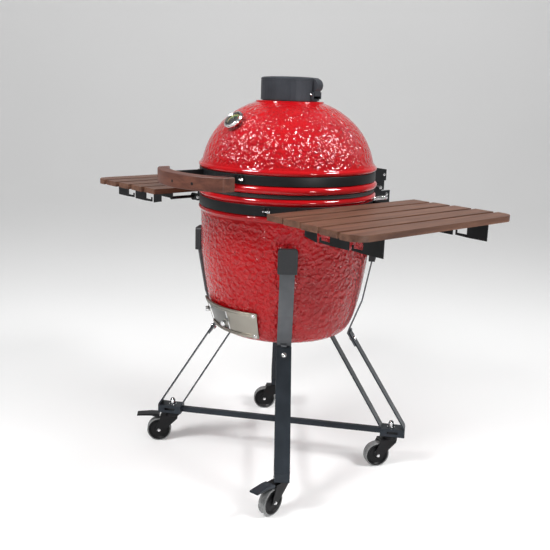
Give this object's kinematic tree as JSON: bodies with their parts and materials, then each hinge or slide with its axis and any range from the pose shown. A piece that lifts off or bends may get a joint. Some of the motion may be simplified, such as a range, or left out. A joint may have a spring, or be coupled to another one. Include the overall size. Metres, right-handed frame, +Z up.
{
  "type": "kamado grill",
  "caption": "Egg-shaped ceramic charcoal grill with a hinged dome, chimney cap and draught door, on a folded-strip cart with fold-down wooden side shelves and swivel casters.",
  "frame": {"origin": "on the floor, under the vertical axis of the egg, at the centre of the footprint of the whole grill", "axes": "+Z up; -Y towards the cook, the front handle and the draught door; +X along the shelf on the right of someone facing -Y from behind, which is the right shelf seen from the front"},
  "size_m": [1.246, 0.84, 1.209],
  "materials": {
    "glazed_red": "glossy dimpled glaze",
    "felt": "dense black felt",
    "black_steel": "satin black powder coat",
    "fireclay": "raw fireclay",
    "cast_iron": "fine cast satin",
    "stainless": "brushed along its length",
    "chrome": "polished",
    "wood": "oiled reddish brown, straight grain",
    "rubber": "matte",
    "tread": "matte light grey",
    "nylon": "satin black moulded"
  },
  "bodies": {
    "cart": {"base_shell": "glazed_red", "base_gasket": "felt", "lower_band": "black_steel", "fire_box": "fireclay", "fire_ring": "fireclay", "charcoal_grate": "cast_iron", "cooking_grate": "stainless", "hinge_lower_bracket": "black_steel", "hinge_pin": "chrome", "hinge_spring_left": "chrome", "hinge_spring_right": "chrome", "vent_frame": "stainless", "cross_bar_upper": "black_steel", "cross_bar_lower": "black_steel", "upper_strap_front_left": "black_steel", "strap_pad_front_left": "rubber", "lower_leg_front_left": "black_steel", "upper_strap_front_right": "black_steel", "strap_pad_front_right": "rubber", "lower_leg_front_right": "black_steel", "upper_strap_rear_right": "black_steel", "strap_pad_rear_right": "rubber", "lower_leg_rear_right": "black_steel", "upper_strap_rear_left": "black_steel", "strap_pad_rear_left": "rubber", "lower_leg_rear_left": "black_steel"},
    "dome": {"dome_shell": "glazed_red", "dome_gasket": "felt", "upper_band": "black_steel", "chimney_base": "cast_iron", "thermometer": "chrome", "hinge_upper_bracket": "black_steel", "handle_bar": "wood", "handle_bracket": "black_steel"},
    "chimney_lid": {"chimney_lid": "cast_iron"},
    "chimney_damper": {"chimney_damper": "cast_iron"},
    "vent_door": {"vent_door": "stainless"},
    "vent_screen": {"vent_screen": "stainless"},
    "shelf_right": {"shelf_frame_right": "black_steel", "shelf_slat_right_1": "wood", "shelf_slat_right_2": "wood", "shelf_slat_right_3": "wood", "shelf_slat_right_4": "wood", "shelf_slat_right_5": "wood"},
    "shelf_left": {"shelf_frame_left": "black_steel", "shelf_slat_left_1": "wood", "shelf_slat_left_2": "wood", "shelf_slat_left_3": "wood", "shelf_slat_left_4": "wood", "shelf_slat_left_5": "wood"},
    "caster_front_left": {"caster_fork_front_left": "nylon"},
    "wheel_front_left": {"caster_wheel_front_left": "tread"},
    "brake_front_left": {"brake_pedal_front_left": "nylon"},
    "caster_front_right": {"caster_fork_front_right": "nylon"},
    "wheel_front_right": {"caster_wheel_front_right": "tread"},
    "brake_front_right": {"brake_pedal_front_right": "nylon"},
    "caster_rear_right": {"caster_fork_rear_right": "nylon"},
    "wheel_rear_right": {"caster_wheel_rear_right": "tread"},
    "caster_rear_left": {"caster_fork_rear_left": "nylon"},
    "wheel_rear_left": {"caster_wheel_rear_left": "tread"}
  },
  "joints": [
    {"name": "dome_hinge", "type": "hinge", "parent": "cart", "child": "dome", "pos_m": [0, 0.36, 0.866], "axis": [-1, 0, 0], "range_deg": [0, 75]},
    {"name": "chimney_lid_hinge", "type": "hinge", "parent": "dome", "child": "chimney_lid", "pos_m": [0.08081, 0.02941, 1.161], "axis": [-0.342, 0.9397, 0], "range_deg": [0, 85]},
    {"name": "chimney_damper_turn", "type": "hinge", "parent": "dome", "child": "chimney_damper", "pos_m": [0, 0, 1.1556], "axis": [0, 0, 1], "range_deg": [0, 45]},
    {"name": "vent_door_slide", "type": "hinge", "parent": "cart", "child": "vent_door", "pos_m": [0, 0, 0.4975], "axis": [0, 0, 1], "range_deg": [-12, 0]},
    {"name": "vent_screen_slide", "type": "hinge", "parent": "cart", "child": "vent_screen", "pos_m": [0, 0, 0.4975], "axis": [0, 0, 1], "range_deg": [0, 11]},
    {"name": "shelf_right_fold", "type": "hinge", "parent": "cart", "child": "shelf_right", "pos_m": [0.29, 0, 0.827], "axis": [0, 1, 0], "range_deg": [0, 90]},
    {"name": "shelf_left_fold", "type": "hinge", "parent": "cart", "child": "shelf_left", "pos_m": [-0.29, 0, 0.827], "axis": [0, -1, 0], "range_deg": [0, 90]},
    {"name": "caster_swivel_front_left", "type": "hinge", "parent": "cart", "child": "caster_front_left", "pos_m": [-0.28381, -0.23111, 0.09], "axis": [0, 0, 1], "continuous": true},
    {"name": "wheel_spin_front_left", "type": "hinge", "parent": "caster_front_left", "child": "wheel_front_left", "pos_m": [-0.31019, -0.26879, 0.03966], "axis": [0.8192, -0.5736, 0], "continuous": true},
    {"name": "brake_tilt_front_left", "type": "hinge", "parent": "caster_front_left", "child": "brake_front_left", "pos_m": [-0.31707, -0.27862, 0.09], "axis": [0.8192, -0.5736, 0], "range_deg": [0, 12]},
    {"name": "caster_swivel_front_right", "type": "hinge", "parent": "cart", "child": "caster_front_right", "pos_m": [0.28381, -0.23111, 0.09], "axis": [0, 0, 1], "continuous": true},
    {"name": "wheel_spin_front_right", "type": "hinge", "parent": "caster_front_right", "child": "wheel_front_right", "pos_m": [0.29179, -0.27641, 0.03966], "axis": [0.9848, 0.1736, 0], "continuous": true},
    {"name": "brake_tilt_front_right", "type": "hinge", "parent": "caster_front_right", "child": "brake_front_right", "pos_m": [0.29388, -0.28823, 0.09], "axis": [0.9848, 0.1736, 0], "range_deg": [0, 12]},
    {"name": "caster_swivel_rear_right", "type": "hinge", "parent": "cart", "child": "caster_rear_right", "pos_m": [0.28381, 0.23111, 0.09], "axis": [0, 0, 1], "continuous": true},
    {"name": "wheel_spin_rear_right", "type": "hinge", "parent": "caster_rear_right", "child": "wheel_rear_right", "pos_m": [0.26437, 0.18942, 0.03966], "axis": [0.9063, -0.4226, 0], "continuous": true},
    {"name": "caster_swivel_rear_left", "type": "hinge", "parent": "cart", "child": "caster_rear_left", "pos_m": [-0.28381, 0.23111, 0.09], "axis": [0, 0, 1], "continuous": true},
    {"name": "wheel_spin_rear_left", "type": "hinge", "parent": "caster_rear_left", "child": "wheel_rear_left", "pos_m": [-0.31338, 0.19587, 0.03966], "axis": [0.766, -0.6428, 0], "continuous": true}
  ]
}
